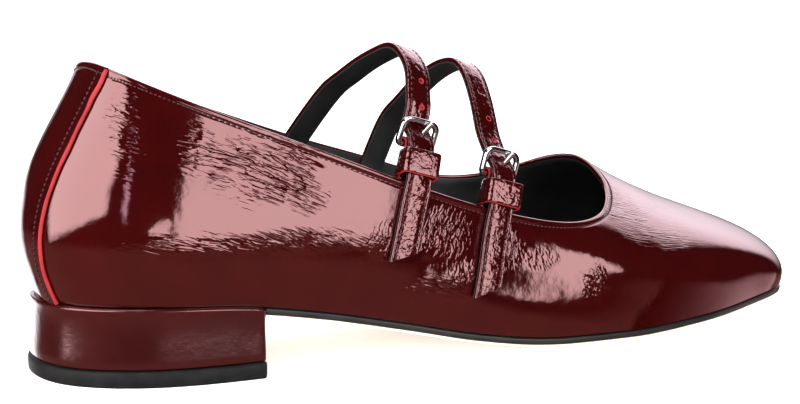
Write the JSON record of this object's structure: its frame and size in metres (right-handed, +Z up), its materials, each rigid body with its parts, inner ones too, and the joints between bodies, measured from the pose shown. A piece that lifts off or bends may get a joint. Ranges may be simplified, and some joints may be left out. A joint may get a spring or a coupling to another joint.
{
  "type": "mary jane shoe",
  "caption": "Women's low block-heel mary jane shoe, right foot, hollow patent upper with buckled straps over the instep.",
  "frame": {"origin": "on the floor, in the middle of the heel's ground face", "axes": "+X towards the toe, +Y towards the inner side of the foot, +Z up"},
  "size_m": [0.248, 0.0713, 0.0874],
  "materials": {
    "patent_leather": "gloss",
    "heel_cover": "gloss",
    "sole_edge": "satin",
    "heel_lift": "matte",
    "lining": "matte",
    "buckle_metal": "polished"
  },
  "bodies": {
    "root": {"upper": "patent_leather", "outsole": "sole_edge", "insole": "lining", "heel_block": "heel_cover", "top_lift": "heel_lift", "rear_strap": "patent_leather", "rear_chape": "patent_leather", "rear_keeper": "patent_leather", "rear_buckle": "buckle_metal", "rear_prong": "buckle_metal", "front_strap": "patent_leather", "front_chape": "patent_leather", "front_keeper": "patent_leather", "front_buckle": "buckle_metal", "front_prong": "buckle_metal"}
  },
  "joints": []
}
